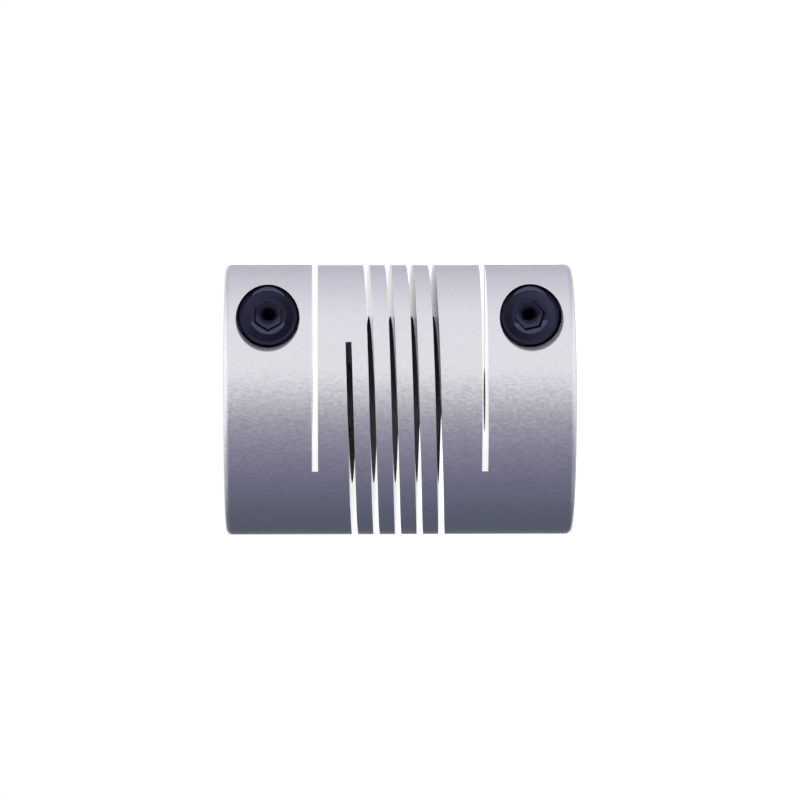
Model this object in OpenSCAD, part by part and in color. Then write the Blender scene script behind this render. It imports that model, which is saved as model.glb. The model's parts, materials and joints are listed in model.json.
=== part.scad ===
/* [Body] */
// Outer diameter of the body
body_d = 25; // [20:0.5:32]
// Overall length of the body
body_l = 32; // [29:0.5:50]
// Rounding of the outer edge at both ends
edge_r = 0.6; // [0.2:0.05:1.2]

/* [Shaft bores] */
// Shaft bore at the upper end
upper_bore_d = 6; // [5:0.5:9]
// Shaft bore at the lower end
lower_bore_d = 6; // [5:0.5:9]
// Chamfer at the mouth of each shaft bore
bore_chamfer = 0.4; // [0.1:0.05:0.8]
// Diameter of the relief bore behind the helical slot
relief_d = 15.5; // [10:0.25:16]
// Length of relief bore beyond each end of the helical slot
relief_margin = 0.6; // [0.3:0.05:0.9]

/* [Helical slot] */
// Rise of the slot in one turn
slot_pitch = 2; // [1.4:0.05:2.3]
// Width of the slot along the axis
slot_w = 0.55; // [0.3:0.05:0.8]
// Turns of the slot from end to end
slot_turns = 4.66; // [2.5:0.01:5]

/* [Clamps] */
// Length of each clamp, from the end face to its cross slit
clamp_l = 8; // [6.5:0.1:8.8]
// Width of the cross slit behind each clamp
cross_slit_w = 0.55; // [0.3:0.05:0.8]
// Metal left under the cross slit, opposite the clamp screw
cross_slit_web = 6.75; // [3.5:0.05:7.5]
// Width of the split that lets each clamp close
split_w = 0.8; // [0.4:0.1:1.2]

/* [Clamp screws] */
// Thread diameter of the clamp screws
screw_d = 3; // [2:0.5:3]
// Length of the clamp screws under the head
screw_l = 10; // [8:1:10]
// Distance from the outer surface in to the screw's axis
screw_edge = 4.4; // [4.3:0.05:4.8]
// Head diameter
head_d = 5.5; // [4.5:0.1:5.6]
// Head height
head_h = 3; // [2:0.1:3.2]
// Rounding of the head's upper edge
head_edge_r = 0.4; // [0.1:0.05:0.5]
// Across flats of the hexagon socket
socket_af = 2.5; // [1.5:0.1:2.6]
// Depth of the hexagon's flats
socket_depth = 1.5; // [0.8:0.1:1.6]
// Across the cone that leads into the hexagon
socket_lead_d = 3.3; // [3:0.05:3.8]
// Included angle of the cone that leads into the hexagon
socket_lead_angle = 120; // [90:5:130]
// Included angle of the socket's floor
socket_floor_angle = 140; // [120:5:160]
// Across the drill point in the middle of the socket's floor
socket_pit_d = 1.2; // [0.6:0.1:1.4]
// Chamfer at the screw's tip
tip_chamfer = 0.4; // [0.2:0.05:0.6]
// Turn of the upper screw's hexagon after tightening
upper_screw_turn = 57.5; // [0:0.5:60]
// Turn of the lower screw's hexagon after tightening
lower_screw_turn = 42.5; // [0:0.5:60]

/* [Clearances] */
// Room around the head in its counterbore, on the radius
head_clearance = 0.15; // [0.05:0.05:0.3]
// Room around the screw in the near half of the clamp, on the radius
shank_clearance = 0.2; // [0.1:0.05:0.4]
// Room between the screw and its tapped hole, on the radius
thread_clearance = 0.05; // [0.02:0.01:0.1]
// Depth of the head's outer corner below the outer surface
head_sink = 0.05; // [0:0.05:0.5]

/* [Hidden] */
$fn = 96;
body_r = body_d / 2;
mid_z = body_l / 2;
past = 1;

// Helical slot: a flat-ended ribbon, centred on the length and on the side opposite the clamp screws
slot_steps_per_turn = 45;
slot_steps = ceil(slot_turns * slot_steps_per_turn);
slot_mid_turn = 180;
slot_inner_r = relief_d / 2 - past;
slot_outer_r = body_r + past;
relief_half_l = slot_pitch * slot_turns / 2 + slot_w / 2 + relief_margin;

// Clamp screws: across the split, heads on the -Y side, each in the middle of its clamp
screw_x = body_r - screw_edge;
upper_screw_z = body_l - clamp_l / 2;
lower_screw_z = clamp_l / 2;
counterbore_d = head_d + 2 * head_clearance;
head_top = sqrt(pow(body_r - head_sink, 2) - pow(screw_x + head_d / 2, 2));
head_seat = head_top - head_h;
socket_corner_d = socket_af / cos(30);
drill_angle = 118;

// What a round edge of radius r takes off a square corner that points up and outwards, r past the arc's centre
module corner_waste(r) {
    difference() {
        square(2 * r);
        circle(r);
    }
}

// Half section of the bar, solid to the axis, with round outer corners
module bar_section() {
    difference() {
        square([body_r, body_l]);
        translate([body_r - edge_r, body_l - edge_r]) corner_waste(edge_r);
        translate([body_r - edge_r, edge_r]) mirror([0, 1]) corner_waste(edge_r);
    }
}

// Half section of what is bored out along the axis
module bore_section() {
    upper_r = upper_bore_d / 2;
    lower_r = lower_bore_d / 2;
    polygon([
        [0, -past],
        [lower_r + bore_chamfer + past, -past],
        [lower_r, bore_chamfer],
        [lower_r, mid_z - relief_half_l],
        [relief_d / 2, mid_z - relief_half_l],
        [relief_d / 2, mid_z + relief_half_l],
        [upper_r, mid_z + relief_half_l],
        [upper_r, body_l - bore_chamfer],
        [upper_r + bore_chamfer + past, body_l + past],
        [0, body_l + past]
    ]);
}

// Ring of four points of the slot's section at one step, from inside the relief bore to outside the body
function slot_ring(step) =
    let (
        turn = slot_turns * (step / slot_steps - 0.5),
        angle = slot_mid_turn + 360 * turn,
        z = mid_z + slot_pitch * turn,
        low = z - slot_w / 2,
        high = z + slot_w / 2
    )
    [
        [slot_inner_r * cos(angle), slot_inner_r * sin(angle), low],
        [slot_outer_r * cos(angle), slot_outer_r * sin(angle), low],
        [slot_outer_r * cos(angle), slot_outer_r * sin(angle), high],
        [slot_inner_r * cos(angle), slot_inner_r * sin(angle), high]
    ];

// Faces between one ring and the next: both walls split along the same diagonal, so the slot keeps its width
function slot_sides(step) =
    let (
        a = 4 * step,
        b = a + 4
    )
    [
        [a, a + 1, b + 1],
        [a, b + 1, b],
        [a + 1, a + 2, b + 2, b + 1],
        [a + 3, b + 2, a + 2],
        [a + 3, b + 3, b + 2],
        [a + 3, a, b, b + 3]
    ];

module helical_slot() {
    last = 4 * slot_steps;
    polyhedron(
        points = [for (step = [0:slot_steps]) each slot_ring(step)],
        faces = concat(
            [[3, 2, 1, 0]],
            [for (step = [0:slot_steps - 1]) each slot_sides(step)],
            [[last, last + 1, last + 2, last + 3]]
        )
    );
}

// Saw cut behind a clamp, through the body down to a flat floor
module cross_slit(low_z) {
    floor_x = cross_slit_web - body_r;
    translate([floor_x, -body_r - past, low_z])
        cube([body_r + past - floor_x, body_d + 2 * past, cross_slit_w]);
}

// Split from the bore to the outer surface, along one clamp
module clamp_split(low_z, length) {
    translate([0, -split_w / 2, low_z]) cube([body_r + past, split_w, length]);
}

// Counterbore, clearance hole and tapped hole of one screw, the head's end towards -Y
module screw_holes(z) {
    translate([screw_x, 0, z]) {
        translate([0, -head_seat, 0]) rotate([90, 0, 0]) cylinder(d = counterbore_d, h = body_r);
        rotate([90, 0, 0]) cylinder(d = screw_d + 2 * shank_clearance, h = body_r);
        rotate([-90, 0, 0]) cylinder(d = screw_d + 2 * thread_clearance, h = body_r);
    }
}

module coupling_body() {
    color([0.76, 0.76, 0.8])
    difference() {
        rotate_extrude() difference() {
            bar_section();
            bore_section();
        }
        helical_slot();
        cross_slit(clamp_l);
        cross_slit(body_l - clamp_l - cross_slit_w);
        clamp_split(-past, clamp_l + past + cross_slit_w / 2);
        clamp_split(body_l - clamp_l - cross_slit_w / 2, clamp_l + past + cross_slit_w / 2);
        screw_holes(lower_screw_z);
        screw_holes(upper_screw_z);
    }
}

// Half section of a screw along its axis, the head's seat at zero and the tip below
module screw_section() {
    head_r = head_d / 2;
    screw_r = screw_d / 2;
    difference() {
        polygon([
            [0, head_h],
            [head_r, head_h],
            [head_r, 0],
            [screw_r, 0],
            [screw_r, tip_chamfer - screw_l],
            [screw_r - tip_chamfer, -screw_l],
            [0, -screw_l]
        ]);
        translate([head_r - head_edge_r, head_h - head_edge_r]) corner_waste(head_edge_r);
    }
}

// Height of a cone that widens from one diameter to another
function cone_h(from_d, to_d, angle) = (to_d - from_d) / 2 / tan(angle / 2);

// Hexagon socket with a conical lead-in above, a conical floor and the point of its drill below
module hexagon_socket() {
    lead_h = cone_h(socket_af, socket_lead_d, socket_lead_angle);
    floor_h = cone_h(socket_pit_d, socket_af, socket_floor_angle);
    pit_h = cone_h(0, socket_pit_d, drill_angle);
    past_d = 2 * past * tan(socket_lead_angle / 2);
    translate([0, 0, head_h - socket_depth]) {
        cylinder(d = socket_corner_d, h = socket_depth + past, $fn = 6);
        translate([0, 0, socket_depth - lead_h])
            cylinder(d1 = socket_af, d2 = socket_lead_d + past_d, h = lead_h + past);
        translate([0, 0, -floor_h]) cylinder(d1 = socket_pit_d, d2 = socket_af, h = floor_h);
        translate([0, 0, -floor_h - pit_h]) cylinder(d1 = 0, d2 = socket_pit_d, h = pit_h);
    }
}

// One screw in its seat, the hexagon turned about the screw's axis
module clamp_screw(z, turn) {
    color([0.1, 0.11, 0.14])
    translate([screw_x, -head_seat, z])
        rotate([90, 0, 0])
            difference() {
                rotate_extrude() screw_section();
                rotate([0, 0, turn]) hexagon_socket();
            }
}

module upper_clamp_screw() {
    clamp_screw(upper_screw_z, upper_screw_turn);
}

module lower_clamp_screw() {
    clamp_screw(lower_screw_z, lower_screw_turn);
}

coupling_body();
upper_clamp_screw();
lower_clamp_screw();
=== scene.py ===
import json
import math

import bmesh
import bpy
import numpy as np
from mathutils import Matrix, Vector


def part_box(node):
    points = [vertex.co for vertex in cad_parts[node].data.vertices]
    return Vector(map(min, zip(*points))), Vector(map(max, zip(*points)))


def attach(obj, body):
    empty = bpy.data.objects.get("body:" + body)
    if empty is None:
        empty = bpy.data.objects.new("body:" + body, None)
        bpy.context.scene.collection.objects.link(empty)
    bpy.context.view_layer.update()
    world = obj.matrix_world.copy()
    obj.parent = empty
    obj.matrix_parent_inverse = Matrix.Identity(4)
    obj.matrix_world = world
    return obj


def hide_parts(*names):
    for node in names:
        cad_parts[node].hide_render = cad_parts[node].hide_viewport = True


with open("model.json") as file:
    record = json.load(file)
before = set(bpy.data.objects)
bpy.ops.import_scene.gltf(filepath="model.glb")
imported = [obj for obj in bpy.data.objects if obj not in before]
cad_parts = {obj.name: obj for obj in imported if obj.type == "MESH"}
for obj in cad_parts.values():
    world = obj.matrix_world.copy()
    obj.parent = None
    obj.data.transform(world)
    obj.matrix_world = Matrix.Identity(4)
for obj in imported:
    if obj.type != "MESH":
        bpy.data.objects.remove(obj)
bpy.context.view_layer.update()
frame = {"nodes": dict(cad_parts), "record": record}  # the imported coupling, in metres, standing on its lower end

scene = bpy.context.scene
mm = 0.001  # sizes below are millimetres, meshes are metres
tiny = 0.3  # how far a cutter reaches past what it cuts, mm
clear = 1  # how far a cutter reaches past the whole bar, mm
weldGap = 2.0e-8  # points closer than this are one point, metres
sharpAngle = 28  # edges sharper than this stay crisp, degrees
print("frame loaded:", sorted(frame["nodes"]))


class Wire:
    # One shader socket. Arithmetic on it adds Math nodes, node() adds any other node.
    def __init__(self, tree, socket=None):
        self.tree = tree
        self.socket = socket

    def node(self, kind, settings=None, inputs=None, out=0):
        made = self.tree.nodes.new(kind)
        for key, value in (settings or {}).items():
            if key == "stops":
                setStops(made.color_ramp, value)
            else:
                setattr(made, key, value)
        for key, value in (inputs or {}).items():
            if isinstance(value, Wire):
                self.tree.links.new(value.socket, made.inputs[key])
            else:
                made.inputs[key].default_value = value
        return Wire(self.tree, made.outputs[out] if made.outputs else None)

    def maths(self, operation, *values):
        return self.node("ShaderNodeMath", {"operation": operation}, dict(enumerate(values)))

    def __add__(self, other):
        return self.maths("ADD", self, other)

    __radd__ = __add__

    def __mul__(self, other):
        return self.maths("MULTIPLY", self, other)

    __rmul__ = __mul__

    def __sub__(self, other):
        return self.maths("SUBTRACT", self, other)

    def __rsub__(self, other):
        return self.maths("SUBTRACT", other, self)


def setStops(ramp, stops):
    while len(ramp.elements) < len(stops):
        ramp.elements.new(1)
    for element, (place, colour) in zip(ramp.elements, stops):
        element.position = place
        element.color = (*colour, 1)


def newMaterial(name):
    material = bpy.data.materials.new(name)
    material.use_nodes = True
    material.node_tree.nodes.clear()
    return material, Wire(material.node_tree)


def arc(centre, radius, start, end, steps):
    # Points (r, z) on a circular arc, angles in degrees.
    turn = np.radians(np.linspace(start, end, steps + 1))
    return np.stack([centre[0] + radius * np.cos(turn), centre[1] + radius * np.sin(turn)], 1)


def tubeMesh(name, rings, loopRows=False):
    # rings[row, column] are points in mm. Columns close on themselves.
    # Rows close too (loopRows) or end in flat caps.
    rows, columns = rings.shape[:2]
    row = np.arange(rows if loopRows else rows - 1)[:, None]
    column = np.arange(columns)[None, :]
    nextRow = (row + 1) % rows
    nextColumn = (column + 1) % columns
    corners = [row * columns + column, row * columns + nextColumn,
               nextRow * columns + nextColumn, nextRow * columns + column]
    quads = np.stack(np.broadcast_arrays(*corners), -1).reshape(-1, 4)
    caps = [] if loopRows else [np.arange(columns)[::-1], (rows - 1) * columns + np.arange(columns)]
    return meshFrom(name, rings.reshape(-1, 3), quads, caps)


def meshFrom(name, points, quads, caps):
    sizes = np.concatenate([np.full(len(quads), 4), [len(cap) for cap in caps]]).astype(np.int32)
    corners = np.concatenate([quads.ravel(), *caps]).astype(np.int32)
    mesh = bpy.data.meshes.new(name)
    mesh.vertices.add(len(points))
    mesh.vertices.foreach_set("co", (np.asarray(points) * mm).astype(np.float32).ravel())
    mesh.loops.add(len(corners))
    mesh.loops.foreach_set("vertex_index", corners)
    mesh.polygons.add(len(sizes))
    mesh.polygons.foreach_set("loop_start", np.concatenate([[0], np.cumsum(sizes)[:-1]]).astype(np.int32))
    mesh.update(calc_edges=True)
    mesh.validate()
    return facingOut(mesh)


def facingOut(mesh):
    # A closed mesh with a negative volume is inside out, so it is flipped.
    points = np.empty(len(mesh.vertices) * 3, np.float32)
    mesh.vertices.foreach_get("co", points)
    points = points.reshape(-1, 3).astype(float)
    mesh.calc_loop_triangles()
    corners = np.empty(len(mesh.loop_triangles) * 3, np.int32)
    mesh.loop_triangles.foreach_get("vertices", corners)
    a, b, c = points[corners.reshape(-1, 3)].transpose(1, 0, 2)
    if np.einsum("ij,ij->", a, np.cross(b, c)) < 0:
        mesh.flip_normals()
    return mesh


def newObject(name, mesh):
    piece = bpy.data.objects.new(name, mesh)
    scene.collection.objects.link(piece)
    return piece


def boxCutter(low, high):
    # Two square rings, one at each end along x.
    ys = np.array([low[1], high[1], high[1], low[1]])
    zs = np.array([low[2], low[2], high[2], high[2]])
    ends = [np.stack([np.full(4, x), ys, zs], -1) for x in (low[0], high[0])]
    return tubeMesh("cutter", np.stack(ends))


def cutAway(piece, cutters):
    # Each cutter mesh is taken out of the piece in turn.
    for mesh in cutters:
        tool = newObject("cutter", mesh)
        cut = piece.modifiers.new("cut", "BOOLEAN")
        cut.operation = "DIFFERENCE"
        cut.solver = "MANIFOLD"
        cut.object = tool
        bpy.context.view_layer.update()
        graph = bpy.context.evaluated_depsgraph_get()
        done = bpy.data.meshes.new_from_object(piece.evaluated_get(graph))
        piece.modifiers.remove(cut)
        piece.data = done
        bpy.data.objects.remove(tool)


# Screws: sizes and the thread they share with the tapped holes
screwSizes = {
    "headRadius": 2.75,
    "headHeight": 3.0,
    "headCrown": 0.008,
    "crownRings": 4,
    "bevelFrom": 2.36,
    "bevelTo": 2.53,
    "bevelSlope": 16,
    "edgeSteps": 8,
    "crisp": 0.015,  # width of the narrow rings that keep an edge crisp
    "footBevel": [(0, 0.12), (0.08, 0.02), (0.1, 0)],  # inwards from the head's side, and height
    "threadRadius": 1.5,
    "threadDepth": 0.27,
    "threadPitch": 0.5,
    "threadFlank": 2.7,
    "threadCrest": 0.35,
    "length": 10.0,
    "socketAcross": 2.5,
    "socketDepth": 1.5,
    "socketDraft": 5,
    "flatShares": (0, 0.02, 0.5, 0.98, 1),  # where rings lie on the hexagon's flats, from the floor up
    "leadRadius": 1.65,
    "leadSlope": 30,
    "floorSlope": 20,
    "pitRadius": 0.6,
    "pitSlope": 31,
    "pointRadius": 0.02,
    "underRound": 0.1,
    "underSteps": 4,
    "tipChamfer": 0.4,
    "turns": {"upper_clamp_screw": 57.5, "lower_clamp_screw": 42.5},
    "columns": 96,
    "rowsPerPitch": 12,
}


def tangent(degrees):
    return math.tan(math.radians(degrees))


def threadRadius(turn, along):
    # 60 degree thread: a trapezoid wave of the height along the axis less the turn's share of one pitch.
    s = screwSizes
    phase = (along / s["threadPitch"] - turn / (2 * np.pi)) % 1
    wave = np.abs(phase - 0.5) * s["threadFlank"] - s["threadCrest"]
    wave = np.clip(wave, 0, 1)  # 0 on the crest, 1 in the root
    return s["threadRadius"] - s["threadDepth"] * wave


def placeScrew(local, centre, seatY):
    # Local x, y, axis become X, Z and minus Y of the coupling, the seat of the head at zero.
    x, y, height = np.moveaxis(local, -1, 0)
    return np.stack([centre[0] + x, seatY - height, centre[2] + y], -1)


def screwPlace(node):
    low, high = (np.array(corner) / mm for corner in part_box(node))
    centre = (low + high) / 2
    return centre, low[1] + screwSizes["headHeight"]


def screwRings(hexTurn):
    # The head from the socket's drill point to under its seat: each ring's radius and height are
    # functions of the turn.
    s = screwSizes
    turn = np.linspace(0, 2 * np.pi, s["columns"], endpoint=False)
    top = s["headHeight"]
    crisp = s["crisp"]
    flat = s["socketAcross"] / 2
    narrow = flat - s["socketDepth"] * tangent(s["socketDraft"])
    hexagon = 1 / np.cos((turn % (np.pi / 3)) - np.pi / 6)  # corners at whole sixths of a turn
    floor = top - s["socketDepth"]
    pit = floor - (narrow - s["pitRadius"]) * tangent(s["floorSlope"])
    point = pit - s["pitRadius"] * tangent(s["pitSlope"])
    lead = top - (s["leadRadius"] - flat * hexagon) * tangent(s["leadSlope"])
    one = np.ones_like(turn)
    rings = [(one * s["pointRadius"], one * point), (one * s["pitRadius"], one * pit)]
    rings.append((one * narrow, one * floor))
    for t in s["flatShares"]:
        rings.append(((narrow + (flat - narrow) * t) * hexagon, floor + (lead - floor) * t))
    rings += [(one * r, one * top) for r in (s["leadRadius"], s["leadRadius"] + crisp)]
    # The head's face falls off by the square of the radius, then comes a bevel, then a rounding that
    # meets the bevel without a corner
    start = s["bevelFrom"]
    end = s["bevelTo"]
    slope = math.radians(s["bevelSlope"])
    for r in np.linspace(s["leadRadius"], start - crisp, s["crownRings"] + 2)[1:-1]:
        share = (r ** 2 - s["leadRadius"] ** 2) / (start ** 2 - s["leadRadius"] ** 2)
        rings.append((one * r, one * (top - s["headCrown"] * share)))
    top = top - s["headCrown"]
    edge = (s["headRadius"] - end) / (1 - math.sin(slope))
    drop = (end - start) * math.tan(slope)
    outline = [np.array([[start - crisp, top], [start, top], [start + crisp, top - crisp * math.tan(slope)]])]
    roundCentre = (s["headRadius"] - edge, top - drop - edge * math.cos(slope))
    outline.append(arc(roundCentre, edge, 90 - s["bevelSlope"], 0, s["edgeSteps"]))
    outline.append(np.array([[s["headRadius"] - inset, height] for inset, height in s["footBevel"]]))
    underCentre = (s["threadRadius"] + s["underRound"], -s["underRound"])
    outline.append(arc(underCentre, s["underRound"], 90, 180, s["underSteps"]))
    rings += [(one * r, one * z) for r, z in np.concatenate(outline)]
    return turn + math.radians(hexTurn), rings


def makeScrew(node):
    s = screwSizes
    turn, rings = screwRings(s["turns"][node])
    radii = np.array([r for r, z in rings])
    heights = np.array([z for r, z in rings])
    start = -2 * s["underRound"]
    count = int((s["length"] + start) / s["threadPitch"] * s["rowsPerPitch"])
    along = np.linspace(start, -s["length"], count)[:, None]
    shank = threadRadius(turn[None, :], along)
    fade = np.clip((start - along) / s["threadPitch"], 0, 1)  # the thread runs out under the head
    shank = s["threadRadius"] * (1 - fade) + shank * fade
    shank = np.minimum(shank, s["threadRadius"] - s["tipChamfer"] + (along + s["length"]))
    radii = np.concatenate([radii, shank])
    heights = np.concatenate([heights, np.broadcast_to(along, shank.shape)])
    local = np.stack([radii * np.cos(turn), radii * np.sin(turn), heights], -1)
    centre, seatY = screwPlace(node)
    mesh = tubeMesh(node + "_look", placeScrew(local, centre, seatY))
    # Painted shade deepens the socket: full at the drill point and the first two rings, thinning out towards the
    # hexagon
    oil = np.zeros(radii.shape)
    oil[:2] = 1
    layer = mesh.attributes.new("oil", "FLOAT", "POINT")
    layer.data.foreach_set("value", oil.astype(np.float32).ravel())
    return newObject(node + "_look", mesh)


# Body: one turned bar, bored, slotted and drilled
bodySizes = {
    "edgeRound": 0.6,
    "edgeSteps": 12,
    "mouthChamfer": 0.4,
    "reliefRadius": 7.75,
    "reliefMargin": 0.6,
    "slotPitch": 2.0,
    "slotWidth": 0.55,
    "slotTurns": 4.66,
    "slotMiddle": 180,
    "clampLength": 8.0,
    "slitWidth": 0.55,
    "slitFloor": 5.75,
    "splitWidth": 0.8,
    "headRoom": 0.15,
    "shankRoom": 0.2,
    "threadRoom": 0.05,
    "lip": 0.02,
    "slitLip": 0.01,
    "headLip": 0.06,
    "tappedLip": 0.2,
    "columns": 360,
    "wallRings": 40,
    "slotSteps": 90,
    "lippedColumns": 144,
    "shankColumns": 96,
}
bodyHigh = np.array(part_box("coupling_body")[1]) / mm
outer = bodyHigh[0]
length = bodyHigh[2]
middle = length / 2
boreRadius = {m["name"]: m["dims"]["r_mm"] for m in frame["record"]["mounts"] if m["kind"] == "clamp"}


def barRings():
    # The half section, a closed line of radius and height, carried once round the axis.
    s = bodySizes
    e = s["edgeRound"]
    c = s["mouthChamfer"]
    lower = boreRadius["lower_shaft_clamp"]
    upper = boreRadius["upper_shaft_clamp"]
    half = s["slotPitch"] * s["slotTurns"] / 2 + s["slotWidth"] / 2 + s["reliefMargin"]
    wall = np.linspace(e, length - e, s["wallRings"] + 1)[1:-1]
    section = np.concatenate([
        [[lower + c, 0]],
        arc((outer - e, e), e, -90, 0, s["edgeSteps"]),
        np.stack([np.full_like(wall, outer), wall], 1),
        arc((outer - e, length - e), e, 0, 90, s["edgeSteps"]),
        [[upper + c, length], [upper, length - c]],
        [[upper, middle + half], [s["reliefRadius"], middle + half]],
        [[s["reliefRadius"], middle - half], [lower, middle - half]],
        [[lower, c]],
    ])
    turn = np.linspace(0, 2 * np.pi, s["columns"], endpoint=False)[:, None]
    r, z = section.T[:, None, :]
    height = np.broadcast_to(z, (s["columns"], len(section)))
    return np.stack([r * np.cos(turn), r * np.sin(turn), height], -1)


def slotSection(halfWidth, inner):
    # Radius and height of a slot's section, with a 45 degree lip that opens at the outer surface.
    lip = bodySizes["lip"]
    reach = halfWidth + lip + tiny
    return np.array([[inner, -halfWidth], [outer - lip, -halfWidth], [outer + tiny, -reach],
                     [outer + tiny, reach], [outer - lip, halfWidth], [inner, halfWidth]])


def helixCutter():
    # The slot's section carried along a helix: the height rises by one pitch a turn.
    s = bodySizes
    r, z = slotSection(s["slotWidth"] / 2, s["reliefRadius"] - tiny).T[:, None, :]
    steps = int(s["slotTurns"] * s["slotSteps"])
    turns = np.linspace(-s["slotTurns"] / 2, s["slotTurns"] / 2, steps + 1)[:, None]
    angle = np.radians(s["slotMiddle"]) + 2 * np.pi * turns
    height = middle + s["slotPitch"] * turns + z
    return tubeMesh("cutter", np.stack([r * np.cos(angle), r * np.sin(angle), height], -1))


def lipRing(height):
    # The 45 degree lip of a cross slit, carried round the outside as far as the slit's floor.
    s = bodySizes
    w = s["slitWidth"] / 2
    deep = w / 2
    lip = s["slitLip"]
    section = np.array([[outer - lip - deep, deep - w], [outer + tiny, -w - lip - tiny],
                        [outer + tiny, w + lip + tiny], [outer - lip - deep, w - deep]])
    r, z = section.T[:, None, :]
    reach = math.acos(-(s["slitFloor"] - lip) / outer)
    angle = np.linspace(-reach, reach, s["columns"])[:, None]
    return tubeMesh("cutter", np.stack([r * np.cos(angle), r * np.sin(angle), height + z + 0 * angle], -1))


def splitCutters(low, high, face):
    # The split of one clamp, and its lips at the outer surface and at the end face.
    s = bodySizes
    w = s["splitWidth"] / 2
    deep = w / 2
    reach = w + s["lip"] + tiny
    yield boxCutter((0, -w, low), (outer + clear, w, high))
    edge = [[outer - s["lip"] - deep, deep - w], [outer + tiny, -reach], [outer + tiny, reach],
            [outer - s["lip"] - deep, w - deep]]
    x, y = np.array(edge).T
    yield tubeMesh("cutter", np.stack([np.stack([x, y, np.full(4, z)], -1) for z in (low, high)]))
    away = 1 if face > middle else -1
    z, y = np.array(edge).T
    z = face + away * (z - outer)
    yield tubeMesh("cutter", np.stack([np.stack([np.full(4, x), y, z], -1) for x in (0, outer + clear)]))


def holeCutter(centre, radius, lip, side, floorY):
    # A round hole across the bar, from its floor to a lip that follows the bar's round surface, and out.
    turn = np.linspace(0, 2 * np.pi, bodySizes["lippedColumns"], endpoint=False)

    def ring(r, proud):
        x = centre[0] + r * np.cos(turn)
        y = side * (np.sqrt(outer ** 2 - x ** 2) + proud)
        return np.stack([x, y, centre[2] + r * np.sin(turn)], -1)

    rings = [ring(radius, -lip), ring(radius + lip, 0), ring(radius + 2 * lip, lip)]
    floor = rings[0].copy()
    floor[:, 1] = floorY
    outside = rings[-1].copy()
    outside[:, 1] = side * (outer + clear)
    return tubeMesh("cutter", np.stack([floor, *rings, outside]))


def tappedCutter(centre, seatY, turnShift):
    # The screw's own thread, a little larger, from the split to outside the bar.
    s = screwSizes
    turn = np.linspace(0, 2 * np.pi, s["columns"], endpoint=False) + math.radians(turnShift)
    far = seatY - outer - clear
    count = int(-far / s["threadPitch"] * s["rowsPerPitch"])
    along = np.linspace(seatY, far, count)[:, None]
    r = threadRadius(turn[None, :], along) + bodySizes["threadRoom"]
    local = np.stack([r * np.cos(turn), r * np.sin(turn), np.broadcast_to(along, r.shape)], -1)
    return tubeMesh("cutter", placeScrew(local, centre, seatY))


def roundCutter(centre, radius, fromY, toY):
    turn = np.linspace(0, 2 * np.pi, bodySizes["shankColumns"], endpoint=False)
    ring = np.stack([centre[0] + radius * np.cos(turn), 0 * turn, centre[2] + radius * np.sin(turn)], -1)
    return tubeMesh("cutter", np.stack([ring + [0, y, 0] for y in (fromY, toY)]))


def screwCutters(node):
    s = screwSizes
    b = bodySizes
    centre, seatY = screwPlace(node)
    headHole = s["headRadius"] + b["headRoom"]
    yield holeCutter(centre, headHole, b["headLip"], -1, seatY)
    yield roundCutter(centre, s["threadRadius"] + b["shankRoom"], seatY - tiny, 0)
    yield tappedCutter(centre, seatY, s["turns"][node])
    yield holeCutter(centre, s["threadRadius"], b["tappedLip"], 1, outer / 2 + tiny)


def makeBody():
    s = bodySizes
    body = newObject("coupling_body_look", tubeMesh("coupling_body_look", barRings(), loopRows=True))
    w = s["slitWidth"]
    slits = [s["clampLength"], length - s["clampLength"] - w]
    cutters = [helixCutter()]
    far = outer + clear
    cutters += [boxCutter((-s["slitFloor"], -far, z), (far, far, z + w)) for z in slits]
    cutters += [lipRing(z + w / 2) for z in slits]
    cutters += splitCutters(-clear, slits[0] + w / 2, 0)
    cutters += splitCutters(slits[1] + w / 2, length + clear, length)
    for node in screwSizes["turns"]:
        cutters += screwCutters(node)
    cutAway(body, cutters)
    return body


body = makeBody()
print("body cut:", len(body.data.polygons), "faces")
screws = {node: makeScrew(node) for node in screwSizes["turns"]}
print("screws made:", [len(piece.data.polygons) for piece in screws.values()])


def weld(piece):
    # Points that coincide become one, and faces without area go with them.
    shape = bmesh.new()
    shape.from_mesh(piece.data)
    bmesh.ops.remove_doubles(shape, verts=shape.verts, dist=weldGap)
    bmesh.ops.dissolve_degenerate(shape, edges=shape.edges, dist=weldGap)
    shape.to_mesh(piece.data)
    shape.free()


def smoothByAngle(piece):
    # Sharp edges stay crisp, everything else is shaded smooth.
    mesh = piece.data
    mesh.polygons.foreach_set("use_smooth", np.ones(len(mesh.polygons), bool))
    mesh.set_sharp_from_angle(angle=math.radians(sharpAngle))
    mesh.update()


def read(items, key, width):
    # One property of all items, a row for each
    values = np.empty(len(items) * width, np.float32)
    items.foreach_get(key, values)
    return values.reshape(-1, width).astype(float)


# How far, in mm, a face's middle may lie from the surface that it belongs to
near = {
    "end": 0.003,
    "round": 0.006,
    "edge": 0.01,
    "bore": 0.02,
}
boreFacing = 0.9  # least share of a bored face's normal that points at the axis
floorFacing = 0.1  # least share of a slot floor's normal that points along the axis


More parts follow.
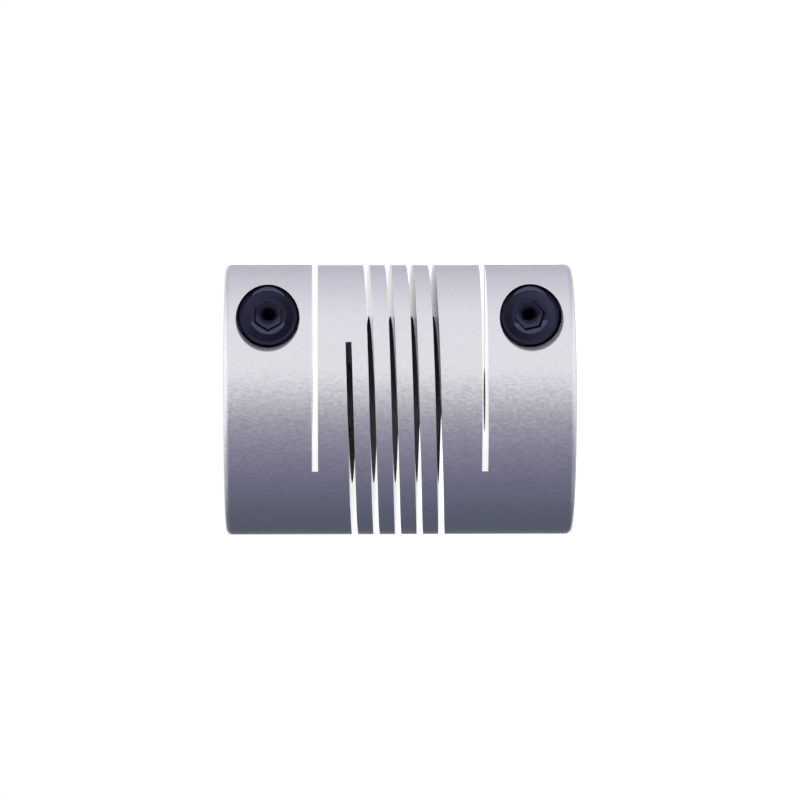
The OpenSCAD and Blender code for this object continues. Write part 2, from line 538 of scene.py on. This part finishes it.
def markSurfaces(piece):
    # Faces of the turned outside lie on the bar's outline; all other faces were cut or bored.
    # Outside normals are exact: straight out on the wall, out from the rounding's centre on the rims.
    mesh = piece.data
    s = bodySizes
    e = s["edgeRound"]
    bore = max(boreRadius.values())
    centre = read(mesh.polygons, "center", 3) / mm
    radius = np.hypot(centre[:, 0], centre[:, 1])
    endGap = np.minimum(centre[:, 2], length - centre[:, 2])
    rimGap = np.hypot(np.maximum(radius - outer + e, 0), np.maximum(e - endGap, 0))
    mouth = bore + s["mouthChamfer"] - near["edge"]
    end = (endGap < near["end"]) & (radius > mouth)
    rounded = (np.abs(rimGap - e) < near["round"]) & (radius > outer - e)
    wall = (np.abs(radius - outer) < near["round"]) & (endGap > e)
    cut = ~(end | rounded | wall)
    facing = read(mesh.polygons, "normal", 3)
    inward = -(facing[:, 0] * centre[:, 0] + facing[:, 1] * centre[:, 1]) / np.maximum(radius, 1e-6)
    pastSlit = endGap > s["clampLength"] + s["slitWidth"] + near["edge"]
    turnedIn = cut & (inward > boreFacing)
    relief = turnedIn & pastSlit & (np.abs(radius - s["reliefRadius"]) < near["bore"])
    bored = relief | turnedIn & (radius < bore + near["bore"])
    drilled = np.zeros_like(cut)
    room = screwSizes["headRadius"] + s["headRoom"] + 2 * s["headLip"]
    offSplit = np.abs(centre[:, 1]) > s["splitWidth"] / 2 + near["edge"]
    for node in screws:
        place = screwPlace(node)[0]
        across = np.hypot(centre[:, 0] - place[0], centre[:, 2] - place[2])
        drilled |= cut & (across < room) & offSplit
    sawn = cut & ~bored & ~drilled
    upward = facing[:, 2] > floorFacing
    marks = {"slotFloorSide": sawn & pastSlit & upward, "slotRoofSide": sawn & pastSlit & ~upward,
             "slitWall": sawn & ~pastSlit, "drilled": drilled, "relief": relief}
    for name, flags in marks.items():
        layer = mesh.attributes.new(name, "FLOAT", "FACE")
        layer.data.foreach_set("value", flags.astype(np.float32))
    normals = read(mesh.corner_normals, "vector", 3)
    points = read(mesh.vertices, "co", 3)[read(mesh.loops, "vertex_index", 1).astype(int)[:, 0]] / mm
    faceOf = np.repeat(np.arange(len(mesh.polygons)), read(mesh.polygons, "loop_total", 1).astype(int)[:, 0])
    across = np.hypot(points[:, 0], points[:, 1])
    turned = (wall | rounded)[faceOf]
    inner = np.where(turned, np.maximum(across - outer + e, 1e-6), 0)
    rise = points[:, 2] - np.clip(points[:, 2], e, length - e)
    exact = np.stack([points[:, 0] / across * inner, points[:, 1] / across * inner, rise], -1)
    exact /= np.maximum(np.linalg.norm(exact, axis=1, keepdims=True), 1e-9)
    normals[turned] = exact[turned]
    mesh.normals_split_custom_set(normals.tolist())
    return {"end": int(end.sum()), "rim": int(rounded.sum()), "wall": int(wall.sum()), "all": len(centre)}


for piece in (body, *screws.values()):
    weld(piece)
    smoothByAngle(piece)
print("surfaces marked:", markSurfaces(body))

# Finishes
bodyFinish = {
    "colour": (0.555, 0.550, 0.590),
    "roughness": 0.40,
    "cutColour": (0.86, 0.86, 0.87),
    # painted shade: the relief bore's inside is darkened where little light reaches
    "reliefColour": (0.19, 0.19, 0.205),
    "markRoughness": {"slotFloorSide": 0.14, "slotRoofSide": 0.1, "slitWall": 0.06, "drilled": 0.55},
    "slotWear": {"from": 13.0, "to": 18.0, "rougher": 0.11},
    "brightCut": ["slotRoofSide", "slitWall"],
    "grain": 4800.0,
    "grainStretch": (1, 1, 0.5),
    "grainDetail": 3.5,
    "grainLean": 0.28,
    "grainTone": 0.17,
    "grainRoughness": 0.06,
    "streak": 6500.0,
    "streakStretch": (1, 1, 0.12),
    "streakDetail": 1.0,
    "streakHeight": 0.5e-5,
}
screwFinish = {
    "colour": (0.042, 0.044, 0.079),
    "roughness": 0.12,
    "edgeTint": (0.2, 0.2, 0.25),
    # painted shade: the share of the colour left at the socket's drill point
    "oilShade": 0.3,
    "grain": 3000.0,
    "grainDetail": 3.0,
    "grainRoughness": 0.1,
}


def scaled(wire, vector, by):
    return wire.node("ShaderNodeVectorMath", {"operation": "MULTIPLY"}, {0: vector, 1: by})


def noise(wire, vector, scale, detail):
    return wire.node("ShaderNodeTexNoise", inputs={"Vector": vector, "Scale": scale, "Detail": detail})


def leaning(wire, speckle, amount):
    # The surface's own normal, leaned by a random vector in each speck of the grain
    lean = wire.node("ShaderNodeVectorMath", {"operation": "SUBTRACT"}, {0: speckle, 1: (0.5, 0.5, 0.5)})
    lean = wire.node("ShaderNodeVectorMath", {"operation": "SCALE"}, {0: lean, "Scale": amount})
    normal = wire.node("ShaderNodeNewGeometry", out="Normal")
    lean = wire.node("ShaderNodeVectorMath", {"operation": "ADD"}, {0: normal, 1: lean})
    return wire.node("ShaderNodeVectorMath", {"operation": "NORMALIZE"}, {0: lean})


def mark(wire, name):
    return wire.node("ShaderNodeAttribute", {"attribute_name": name}, out="Fac")


def mixed(wire, share, first, second):
    first = first if isinstance(first, Wire) else (*first, 1)
    return wire.node("ShaderNodeMix", {"data_type": "RGBA"}, {0: share, 6: first, 7: (*second, 1)}, out=2)


def anodisedFinish():
    # Satin blasted grain, a little longer along the axis, on all that was not cut afterwards
    f = bodyFinish
    material, wire = newMaterial("satin_anodised_aluminium")
    place = wire.node("ShaderNodeTexCoord", out="Object")
    marks = {name: mark(wire, name) for name in f["markRoughness"]}
    grain = noise(wire, scaled(wire, place, f["grainStretch"]), f["grain"], f["grainDetail"])
    speckle = Wire(wire.tree, grain.socket.node.outputs["Color"])
    streak = noise(wire, scaled(wire, place, f["streakStretch"]), f["streak"], f["streakDetail"])
    bright = sum(marks[name] for name in f["brightCut"])
    uncut = 1 - bright - marks["slotFloorSide"]
    bump = leaning(wire, speckle, f["grainLean"] * uncut)
    bump = wire.node("ShaderNodeBump", inputs={
        "Height": streak * uncut, "Distance": f["streakHeight"], "Normal": bump})
    rough = f["roughness"] + f["grainRoughness"] * (grain - 0.5) * uncut
    for name, value in f["markRoughness"].items():
        rough = rough + (value - f["roughness"]) * marks[name]
    # The cutter left the slot's lower turns rougher
    wear = f["slotWear"]
    height = wire.node("ShaderNodeSeparateXYZ", inputs={0: place}, out="Z")
    rougher = wire.node("ShaderNodeMapRange", inputs={
        "Value": height, 1: wear["from"] * mm, 2: wear["to"] * mm, 3: wear["rougher"], 4: 0.0})
    rough = rough + rougher * marks["slotFloorSide"]
    paler, deeper = ([c * (1 + side * f["grainTone"] / 2) for c in f["colour"]] for side in (1, -1))
    colour = mixed(wire, grain, deeper, paler)
    colour = mixed(wire, bright, colour, f["cutColour"])
    # painted shade inside the relief bore
    colour = mixed(wire, mark(wire, "relief"), colour, f["reliefColour"])
    shade = wire.node("ShaderNodeBsdfPrincipled", inputs={
        "Base Color": colour, "Metallic": 1.0, "Roughness": rough, "Normal": bump})
    wire.node("ShaderNodeOutputMaterial", inputs={"Surface": shade})
    return material


def blackOxideFinish():
    # Painted shade darkens the colour towards the socket's drill point
    f = screwFinish
    material, wire = newMaterial("blue_black_oxide")
    place = wire.node("ShaderNodeTexCoord", out="Object")
    grain = noise(wire, place, f["grain"], f["grainDetail"])
    # painted shade: the socket's floor darkens towards the drill point
    unshaded = 1 - mark(wire, "oil")
    colour = mixed(wire, unshaded * unshaded, [c * f["oilShade"] for c in f["colour"]], f["colour"])
    shade = wire.node("ShaderNodeBsdfPrincipled", inputs={
        "Base Color": colour, "Metallic": 1.0, "Specular Tint": (*f["edgeTint"], 1),
        "Roughness": f["roughness"] + f["grainRoughness"] * (grain - 0.5)})
    wire.node("ShaderNodeOutputMaterial", inputs={"Surface": shade})
    return material


body.data.materials.clear()
body.data.materials.append(anodisedFinish())
oxide = blackOxideFinish()
for piece in screws.values():
    piece.data.materials.append(oxide)
print("finishes set")

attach(body, "root")
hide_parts("coupling_body")
for node, piece in screws.items():
    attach(piece, "root")
    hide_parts(node)

# Studio: white all round, a pale floor, and two curved and two end sheets that only show in reflections
studio = {
    "worldFill": 0.35,
    "floorHalf": 1.2,
    "floorDrop": 2.0e-5,
    "floorTone": (0.9, 0.9, 0.9),
    "floorGlow": 0.55,
    "columns": 65,
    "radius": 0.5,
    "low": -0.4,
    "high": 0.45,
    "shade": [(-166, (1, 1, 1)), (-152, (0.134, 0.161, 0.209)), (-125, (0.135, 0.157, 0.203)),
              (-95, (0.184, 0.195, 0.273)), (-65, (0.245, 0.245, 0.345)), (-35, (0.375, 0.37, 0.49)),
              (-14, (0.5, 0.49, 0.59)), (-5, (0.64, 0.63, 0.7)), (1, (1.08, 1.08, 1.08))],
    "lensHole": {"angle": -4.1, "across": 5.0, "height": 0.04, "depth": 0.8, "from": 0.4, "to": 1.6},
    "softbox": [(1, (1.08, 1.08, 1.08)), (12, (1.03, 1.03, 1.03)), (22, (1.1, 1.1, 1.1)),
                (24, (1.75, 1.75, 1.75)), (34, (1.75, 1.75, 1.75)), (36, (1.2, 1.2, 1.2)),
                (45, (1.36, 1.36, 1.36)), (60, (1.42, 1.42, 1.42)), (70, (1.41, 1.41, 1.42)),
                (90, (1.33, 1.32, 1.35)), (115, (1.05, 1.04, 1.1)), (140, (0.93, 0.92, 1.0)),
                (160, (0.6, 0.59, 0.68)), (168, (1, 1, 1))],
    "bend": 195,
    "upperLid": [(-0.27, (0.5, 0.5, 0.57)), (-0.21, (0.72, 0.72, 0.79)), (-0.12, (1.25, 1.25, 1.3)),
                 (-0.045, (1.65, 1.65, 1.68)), (0.03, (1.85, 1.85, 1.85))],
    "lowerLid": [(-0.27, (0.36, 0.36, 0.42)), (-0.21, (0.46, 0.46, 0.53)), (-0.12, (0.85, 0.85, 0.9)),
                 (-0.045, (1.25, 1.25, 1.28)), (0.03, (1.6, 1.6, 1.62)), (0.19, (1.8, 1.8, 1.8))],
    "sunAngle": 25,
    "sunHeight": 55,
    "sunStrength": 1.5,
}


def seenRays(wire):
    # 1 for rays from the camera, off gloss and through glass, 0 for diffuse light
    path = [wire.node("ShaderNodeLightPath", out=name) for name in
            ("Is Camera Ray", "Is Glossy Ray", "Is Transmission Ray")]
    return wire.maths("MAXIMUM", wire.maths("MAXIMUM", path[0], path[1]), path[2])


def flatSheet(name, half, height=0):
    corners = [[-half, -half, height], [half, -half, height], [half, half, height], [-half, half, height]]
    return newObject(name, meshFrom(name, np.array(corners) / mm, np.array([[0, 1, 2, 3]]), []))


def curvedSheet(name, stops, bend):
    # Part of an upright cylinder: the angle from the front (minus Y) towards plus X runs along one side of
    # the grid, the height along the other.
    # Its stripes bend forwards by the square of the height, in degrees for each square metre.
    v = studio
    first = stops[0][0]
    span = stops[-1][0] - first
    angle = np.radians(np.linspace(first, stops[-1][0], v["columns"]))[:, None]
    height = np.array([[v["low"], v["high"]]])
    across = v["radius"] * np.sin(angle)
    back = -v["radius"] * np.cos(angle)
    points = np.stack(np.broadcast_arrays(across, back, height), -1)
    index = np.arange(points.shape[0] - 1)[:, None] * 2
    sheet = newObject(name, meshFrom(name, points.reshape(-1, 3) / mm, index + np.array([[0, 2, 3, 1]]), []))
    material, wire = newMaterial(name)
    place = wire.node("ShaderNodeSeparateXYZ", inputs={0: wire.node("ShaderNodeTexCoord", out="Object")})
    x, y, z = (Wire(wire.tree, place.socket.node.outputs[i]) for i in range(3))
    lift = z - middle * mm
    degrees = wire.maths("ARCTAN2", x, 0 - y) * (180 / math.pi) + lift * lift * bend
    share = (degrees - first) * (1 / span)
    # The dark of the camera itself, which only flat faces mirror
    hole = v["lensHole"]
    aside = (degrees - hole["angle"]) * (1 / hole["across"])
    rise = lift * (1 / hole["height"])
    dark = wire.node("ShaderNodeMapRange", {"interpolation_type": "SMOOTHSTEP"}, {
        "Value": aside * aside + rise * rise, 1: hole["from"], 2: hole["to"], 3: hole["depth"], 4: 0.0})
    tones = [((at - first) / span, tone) for at, tone in stops]
    glow = wire.node("ShaderNodeValToRGB", {"stops": tones}, {0: share})
    glowing(sheet, material, wire, mixed(wire, dark, glow, (0, 0, 0)))


def lidSheet(name, height, stops):
    # Shaded along X like the curved sheets, so the round edges darken towards minus X
    sheet = flatSheet(name, studio["radius"] / math.sqrt(2), height)
    material, wire = newMaterial(name)
    x = wire.node("ShaderNodeSeparateXYZ", inputs={0: wire.node("ShaderNodeTexCoord", out="Object")})
    first = stops[0][0]
    span = stops[-1][0] - first
    tones = [((at - first) / span, tone) for at, tone in stops]
    share = (x - first) * (1 / span)
    glowing(sheet, material, wire, wire.node("ShaderNodeValToRGB", {"stops": tones}, {0: share}))


def glowing(sheet, material, wire, colour):
    # Seen by reflections only, so the white background and the floor's light stay as they are
    glow = wire.node("ShaderNodeEmission", inputs={"Color": colour})
    wire.node("ShaderNodeOutputMaterial", inputs={"Surface": glow})
    sheet.data.materials.append(material)
    sheet.visible_camera = False
    sheet.visible_diffuse = False
    sheet.visible_shadow = False


def makeStudio():
    v = studio
    world = bpy.data.worlds.new("studio")
    scene.world = world
    world.use_nodes = True
    world.node_tree.nodes.clear()
    wire = Wire(world.node_tree)
    strength = v["worldFill"] + (1 - v["worldFill"]) * seenRays(wire)
    glow = wire.node("ShaderNodeBackground", inputs={"Color": (1, 1, 1, 1), "Strength": strength})
    wire.node("ShaderNodeOutputWorld", inputs={"Surface": glow})

    # A hair below the end face, so that the two never share a plane
    floor = flatSheet("floor", v["floorHalf"], -v["floorDrop"])
    material, wire = newMaterial("pale_floor")
    matte = wire.node("ShaderNodeBsdfDiffuse", inputs={"Color": (*v["floorTone"], 1)})
    glow = wire.node("ShaderNodeEmission", inputs={
        "Color": (1, 1, 1, 1), "Strength": v["floorGlow"] * seenRays(wire)})
    both = wire.node("ShaderNodeAddShader", inputs={0: matte, 1: glow})
    wire.node("ShaderNodeOutputMaterial", inputs={"Surface": both})
    floor.data.materials.append(material)
    floor.visible_glossy = False

    curvedSheet("shade_sheet", v["shade"], 0)
    curvedSheet("softbox_sheet", v["softbox"], v["bend"])
    lidSheet("upper_lid", v["high"], v["upperLid"])
    lidSheet("lower_lid", v["low"], v["lowerLid"])

    # A broad sun from the front and above drops the shadow behind the coupling.
    lamp = bpy.data.lights.new("front_sun", "SUN")
    lamp.energy = v["sunStrength"]
    lamp.angle = math.radians(v["sunAngle"])
    sun = bpy.data.objects.new("front_sun", lamp)
    sun.rotation_euler = (math.radians(90 - v["sunHeight"]), 0, 0)
    sun.visible_glossy = False
    scene.collection.objects.link(sun)


makeStudio()

# Camera: level with the coupling, turned a quarter so that the axis lies across the picture
view = {
    "focalPixels": 4853.0,
    "frame": 800.0,
    "distance": 451.0,
    "towardsSplit": 4.1,
    "eyeHeight": 21.9,
    "roll": -0.12,
    "middlePixel": (398.4, 399.5),
}


def makeCamera():
    v = view
    tilt = math.radians(v["towardsSplit"])
    eye = np.array([v["distance"] * math.sin(tilt), -v["distance"] * math.cos(tilt), v["eyeHeight"]])
    target = np.array([0, 0, middle])
    forward = (target - eye) / np.linalg.norm(target - eye)
    # The picture's right is minus Z and its up is plus X, as near as the view direction lets them be.
    right = np.array([0, 0, -1.0])
    right -= forward * right.dot(forward)
    right /= np.linalg.norm(right)
    up = np.cross(right, forward)
    roll = math.radians(v["roll"])
    level = right
    right = level * math.cos(roll) + up * math.sin(roll)
    up = up * math.cos(roll) - level * math.sin(roll)
    # A small turn puts the middle of the coupling on its pixel.
    dx = v["middlePixel"][0] - v["frame"] / 2
    dy = v["middlePixel"][1] - v["frame"] / 2
    forward = forward - right * dx / v["focalPixels"] + up * dy / v["focalPixels"]
    forward /= np.linalg.norm(forward)
    right -= forward * right.dot(forward)
    right /= np.linalg.norm(right)
    up = np.cross(right, forward)
    lens = bpy.data.cameras.new("camera")
    lens.sensor_width = 36.0
    lens.lens = v["focalPixels"] / v["frame"] * lens.sensor_width
    lens.clip_start = 0.01
    lens.clip_end = 10.0
    camera = bpy.data.objects.new("camera", lens)
    matrix = np.eye(4)
    matrix[:3] = np.stack([right, up, -forward, eye * mm], 1)
    camera.matrix_world = Matrix(matrix.tolist())
    scene.collection.objects.link(camera)
    scene.camera = camera


makeCamera()
scene.view_settings.view_transform = "Standard"
print("studio and camera set")
